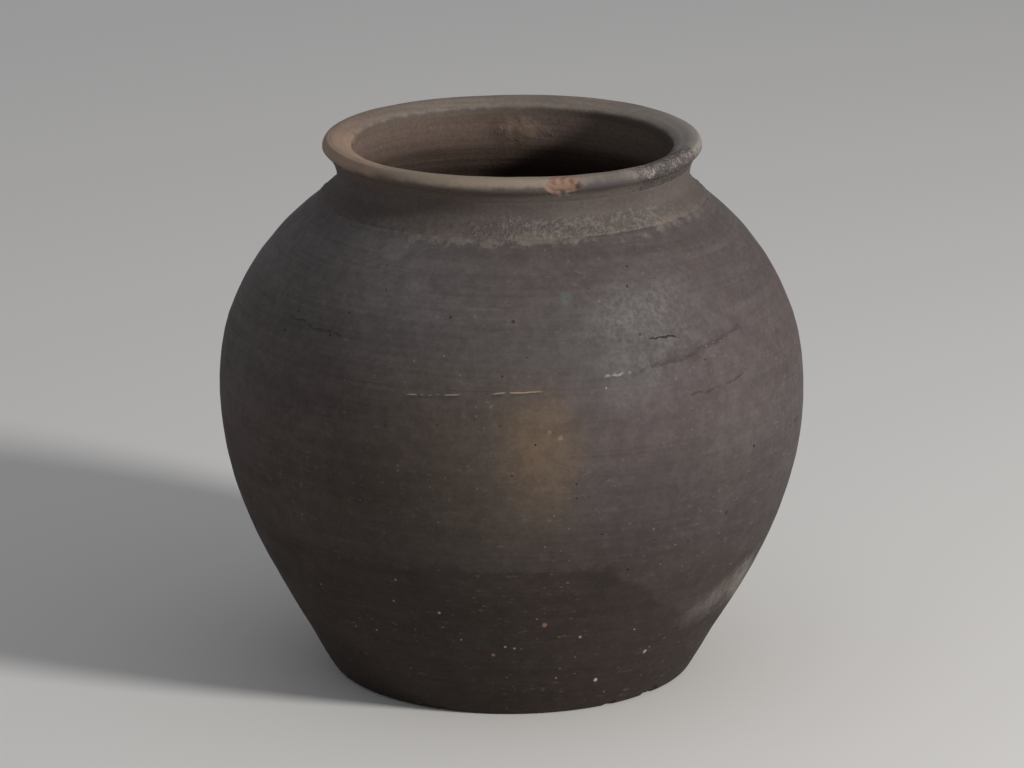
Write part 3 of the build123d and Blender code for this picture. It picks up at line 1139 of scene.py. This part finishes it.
@dataclass
class ClayPiece:
    """One luted piece: a ring turned from its section, then worked by hand."""

    section: ClaySection
    hands: PotterHands
    paints: dict[Side, bpy.types.Material]
    node: str = ""
    slot: str = "smoked_clay"
    low: float = 0.0
    high: float = 0.0
    low_rise: float = 8.0
    high_rise: float = 8.0
    steps: int = 480
    strips: int = 2

    def loop(self) -> list[Station]:
        """Draw this piece's closed section: outside going up, joint, inside going down, joint."""
        inside_low = (self.low + self.low_rise) * MM
        inside_high = (self.high + self.high_rise) * MM
        outer = stretch_between(self.section.outside(), self.low * MM, self.high * MM)
        inner = stretch_between(self.section.inside(), inside_low, inside_high)
        return self.eased(outer) + inner

    @staticmethod
    def eased(outer: list[Station]) -> list[Station]:
        """Add close stations beside each end of an outside stretch, for a crisp joint line."""
        found = [outer[0]]
        for a, b in zip(outer, outer[1:]):
            if a is outer[0] or b is outer[-1]:
                found += [a.towards(b, share) for share in ((0.25, 0.6) if a is outer[0] else (0.4, 0.75))]
            found.append(b)
        return found

    def turned(self, loop: list[Station], closed: bool = True) -> bmesh.types.BMesh:
        """Spin a section about the jar's axis.

        Args:
            loop: the section's stations.
            closed: whether the section closes on itself; if not, its ends lie on the axis.

        Returns:
            The closed mesh; each vertex keeps the number of its station.
        """
        bm = bmesh.new()
        number = bm.verts.layers.float.new("station")
        verts = []
        for i, station in enumerate(loop):
            vert = bm.verts.new((0.0, -station.radius, station.height))
            vert[number] = i
            verts.append(vert)
        pairs = list(zip(verts, verts[1:] + verts[:1] if closed else verts[1:]))
        edges = [bm.edges.new(pair) for pair in pairs]
        bmesh.ops.spin(
            bm, geom=verts + edges, cent=(0, 0, 0), axis=(0, 0, 1), dvec=(0, 0, 0),
            angle=math.tau, steps=self.steps, use_merge=True, use_normal_flip=False, use_duplicate=False,
        )
        bmesh.ops.remove_doubles(bm, verts=bm.verts, dist=1e-7)
        bmesh.ops.recalc_face_normals(bm, faces=bm.faces)
        return bm

    def refine(self, bm: bmesh.types.BMesh) -> None:
        """Cut the mesh finer around each chip on this piece.

        Args:
            bm: the spun mesh.
        """
        for chip in self.hands.chips:
            way = math.radians(chip.angle)
            near = []
            for edge in bm.edges:
                middle = (edge.verts[0].co + edge.verts[1].co) / 2.0
                radius = math.hypot(middle.x, middle.y)
                off = abs(angle_between(way, angle_of(middle)))
                flat = off * radius < (chip.half_width * 1.3 + 0.6) * MM
                level = abs(middle.z - chip.height * MM) < (chip.half_height * 1.3 + 0.6) * MM
                if flat and level and radius > 0.083:
                    near.append(edge)
            if near:
                bmesh.ops.subdivide_edges(bm, edges=near, cuts=1, use_grid_fill=True)

    def kind_of(self, face: bmesh.types.BMFace, loop: list[Station], number: object) -> Side:
        """Say which surface a face lies on.

        Args:
            face: the face.
            loop: the section's stations.
            number: the layer that holds station numbers.

        Returns:
            The side, or JOINT where the face spans two of them away from the lip.
        """
        numbers = [vert[number] for vert in face.verts]
        low, high = math.floor(min(numbers) + 0.001), math.ceil(max(numbers) - 0.001)
        first, last = loop[low], loop[min(high, len(loop) - 1)]
        if high - low <= 1 and (first.side is last.side or first.side is Side.UNDERSIDE):
            return first.side
        if high - low <= 1 and abs(first.height - last.height) < 0.5 * MM and first.height > 0.26:
            return Side.INSIDE
        return Side.JOINT

    def build(self) -> bpy.types.Object:
        """Turn, work and dress the piece, and hand it to the frame.

        Returns:
            The finished object.
        """
        loop = self.loop()
        bm = self.turned(loop, closed=loop[0].radius > MM)
        self.refine(bm)
        self.work(bm, loop)
        mesh = bpy.data.meshes.new(self.node + "_clay")
        bm.to_mesh(mesh)
        bm.free()
        piece = bpy.data.objects.new(self.node + "_clay", mesh)
        bpy.context.scene.collection.objects.link(piece)
        for paint in self.paints.values():
            mesh.materials.append(paint)
        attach(piece, "root")
        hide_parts(self.node)
        log.info("%s: %d faces", piece.name, len(mesh.polygons))
        return piece

    def work(self, bm: bmesh.types.BMesh, loop: list[Station]) -> None:
        """Sort the faces by side, lay out the map for baking and work the shape by hand.

        Args:
            bm: the spun mesh.
            loop: the section's stations.
        """
        number = bm.verts.layers.float["station"]
        for face in bm.faces:
            face.smooth = True
            face.material_index = self.kind_of(face, loop, number).value
        for edge in bm.edges:
            kinds = {face.material_index for face in edge.link_faces}
            edge.smooth = Side.JOINT.value not in kinds or edge.calc_face_angle(0.0) < 0.3
        self.lay_out(bm, loop, number)
        for vert in bm.verts:
            below = min(math.floor(vert[number]), len(loop) - 1)
            above = min(below + 1, len(loop) - 1)
            share = vert[number] - below
            flat = loop[below].facing.lerp(loop[above].facing, share)
            turn = angle_of(vert.co)
            facing = Vector((flat.x * math.sin(turn), -flat.x * math.cos(turn), flat.z)).normalized()
            vert.co = self.hands.settle(vert.co, facing, loop[below].side)

    def lay_out(self, bm: bmesh.types.BMesh, loop: list[Station], number: object) -> None:
        """Lay the wall out flat in a few strips, so that its finish bakes sharp.

        Args:
            bm: the spun mesh.
            loop: the section's stations.
            number: the layer that holds station numbers.
        """
        worth = {Side.OUTSIDE: 1.0, Side.INSIDE: 0.45, Side.JOINT: 0.12, Side.UNDERSIDE: 0.45}
        marks = [0.0]
        for a, b in zip(loop, loop[1:] + loop[:1]):
            side = a.side if a.side is b.side else Side.JOINT
            gap = math.hypot(b.radius - a.radius, b.height - a.height)
            marks.append(marks[-1] + max(gap * worth[side], 0.05 * MM))
        span, margin = math.tau / self.strips, 0.004
        indent = margin * self.strips
        layer = bm.loops.layers.uv.new("OFBake")
        for face in bm.faces:
            centre = angle_of(face.calc_center_median()) % math.tau
            strip = int(centre / span)
            numbers = [vert[number] for vert in face.verts]
            wraps = max(numbers) - min(numbers) > 2.0
            for corner in face.loops:
                turn = angle_of(corner.vert.co) % math.tau
                turn += math.tau * round((centre - turn) / math.tau)
                if math.hypot(*corner.vert.co.xy) < ON_AXIS:
                    turn = centre
                at = corner.vert[number]
                if wraps and at < 1.0:
                    at = float(len(loop))
                lower = min(math.floor(at), len(marks) - 2)
                along = marks[lower] + (marks[lower + 1] - marks[lower]) * (at - lower)
                u = margin + (1.0 - 2.0 * margin) * (turn - strip * span) / span
                v = (strip + indent + (1.0 - 2.0 * indent) * along / marks[-1]) / self.strips
                corner[layer].uv = (u, v)


@dataclass
class BaseDisc(ClayPiece):
    """The slab floor with its bevelled edge and the foot's rim."""

    node: str = "base_disc"
    high: float = 7.0
    high_rise: float = 6.4

    def loop(self) -> list[Station]:
        """Draw the disc's section, which starts and ends on the axis."""
        outer = stretch_between(self.section.outside(), 0.0, self.high * MM)
        inner = stretch_between(self.section.inside(), 0.0, (self.high + self.high_rise) * MM)
        return outer + inner


@dataclass
class LowerCourse(ClayPiece):
    """The first wall course, opening out from the foot."""

    node: str = "lower_course"
    low: float = 7.0
    high: float = 87.0
    low_rise: float = 6.4


@dataclass
class BellyCourse(ClayPiece):
    """The widest course."""

    node: str = "belly_course"
    low: float = 87.0
    high: float = 174.5


@dataclass
class ShoulderCourse(ClayPiece):
    """The course that closes in to the mouth."""

    node: str = "shoulder_course"
    low: float = 174.5
    high: float = 235.0
    high_rise: float = 2.0


@dataclass
class NeckCollar(ClayPiece):
    """The short neck, standing on the shoulder and rebated for the lip."""

    node: str = "neck_collar"
    low: float = 235.0
    high: float = 251.5
    low_rise: float = 2.0
    high_rise: float = 5.5
    rebate: float = 82.2
    strips: int = 3

    def loop(self) -> list[Station]:
        """Draw the collar's section, with the rebate's tongue at its top."""
        full = super().loop()
        outer = [station for station in full if station.side is Side.OUTSIDE]
        inner = [station for station in full if station.side is Side.INSIDE]
        foot = Station(self.rebate * MM, self.high * MM, Side.JOINT, Vector((1, 0, 0)))
        tongue = Station(self.rebate * MM, (self.high + self.high_rise) * MM, Side.JOINT, Vector((1, 0, 0)))
        return outer + [foot, tongue] + inner


@dataclass
class RimRoll(ClayPiece):
    """The rolled lip, folded over the collar's tongue."""

    node: str = "rim_roll"
    slot: str = "rim_clay"
    low: float = 251.5
    low_rise: float = 5.5
    rebate: float = 82.2
    strips: int = 3

    def loop(self) -> list[Station]:
        """Draw the lip's section, from under the roll, over the crown and down to the throat."""
        top = self.section.height + MM
        outer = stretch_between(self.section.outside(), self.low * MM, top)
        inner = stretch_between(self.section.inside(), (self.low + self.low_rise) * MM, top)
        roof = Station(self.rebate * MM, (self.low + self.low_rise) * MM, Side.JOINT, Vector((1, 0, 0)))
        cheek = Station(self.rebate * MM, self.low * MM, Side.JOINT, Vector((1, 0, 0)))
        return self.eased(outer) + inner[1:] + [roof, cheek]


# --- Studio ---


@dataclass(frozen=True)
class Studio:
    """The pale floor, the soft light and the camera. Lengths in metres, angles in degrees."""

    camera_back: float = 2.200
    camera_height: float = 0.757
    camera_pitch: float = 15.68
    lens: float = 164.43
    key_angle: float = 57.0
    key_rise: float = 24.0
    key_distance: float = 2.6
    key_size: float = 0.42
    key_power: float = 62.0
    fill_strength: float = 0.36

    def set_up(self) -> None:
        """Build the floor, lights and camera."""
        self.lay_floor()
        self.hang_lights()
        self.place_camera()
        bpy.context.scene.view_settings.view_transform = "Standard"

    def lay_floor(self) -> None:
        """Lay a plain pale floor."""
        bm = bmesh.new()
        bmesh.ops.create_grid(bm, x_segments=1, y_segments=1, size=6.0)
        bmesh.ops.translate(bm, verts=bm.verts, vec=(0.0, 0.0, -0.2 * MM))
        mesh = bpy.data.meshes.new("floor")
        bm.to_mesh(mesh)
        bm.free()
        floor = bpy.data.objects.new("floor", mesh)
        bpy.context.scene.collection.objects.link(floor)
        paint = bpy.data.materials.new("pale_floor")
        paint.use_nodes = True
        shader = paint.node_tree.nodes["Principled BSDF"]
        shader.inputs["Base Color"].default_value = (0.70, 0.685, 0.66, 1.0)
        shader.inputs["Roughness"].default_value = 0.9
        mesh.materials.append(paint)

    def hang_lights(self) -> None:
        """Hang a soft key light high on the right and a dim even fill all round."""
        lamp = bpy.data.lights.new("key", "AREA")
        lamp.shape = "DISK"
        lamp.size = self.key_size
        lamp.energy = self.key_power
        lamp.color = (1.0, 0.975, 0.945)
        key = bpy.data.objects.new("key", lamp)
        bpy.context.scene.collection.objects.link(key)
        turn, rise = math.radians(self.key_angle), math.radians(self.key_rise)
        way = Vector((math.sin(turn) * math.cos(rise), -math.cos(turn) * math.cos(rise), math.sin(rise)))
        aim = Vector((0.0, 0.0, 0.15))
        key.location = aim + way * self.key_distance
        key.rotation_euler = (-way).to_track_quat("-Z", "Y").to_euler()
        world = bpy.data.worlds.new("soft_room")
        bpy.context.scene.world = world
        world.use_nodes = True
        sky = world.node_tree.nodes["Background"]
        sky.inputs["Color"].default_value = (0.93, 0.95, 1.0, 1.0)
        sky.inputs["Strength"].default_value = self.fill_strength

    def place_camera(self) -> None:
        """Place the camera a little above the jar, looking gently down at it."""
        data = bpy.data.cameras.new("camera")
        data.lens = self.lens
        data.sensor_width = 36.0
        data.clip_start = 0.05
        camera = bpy.data.objects.new("camera", data)
        bpy.context.scene.collection.objects.link(camera)
        camera.location = (0.0, -self.camera_back, self.camera_height)
        camera.rotation_euler = (math.radians(90.0 - self.camera_pitch), 0.0, 0.0)
        bpy.context.scene.camera = camera


def main() -> None:
    """Build the studio and the six clay pieces, in the order a potter makes them."""
    logging.basicConfig(level=logging.INFO, format="%(name)s: %(message)s")
    Studio().set_up()
    section = ClaySection(height=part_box("rim_roll")[1].z, belly=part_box("belly_course")[1].x)
    hands = PotterHands()
    skin = SmokedSkin().material()
    inner = InnerWall().material()
    joint = ScoredJoint().material()
    body = {Side.OUTSIDE: skin, Side.INSIDE: inner, Side.JOINT: joint}
    neck = {**body, Side.OUTSIDE: NeckCrust().material()}
    rim = RubbedRim().material()
    lip = {Side.OUTSIDE: rim, Side.INSIDE: rim, Side.JOINT: joint}
    BaseDisc(section, hands, {**body, Side.UNDERSIDE: FootFace().material()}).build()
    LowerCourse(section, hands, body).build()
    BellyCourse(section, hands, body).build()
    ShoulderCourse(section, hands, body).build()
    NeckCollar(section, hands, neck).build()
    RimRoll(section, hands, lip).build()


if __name__ == "__main__":
    main()
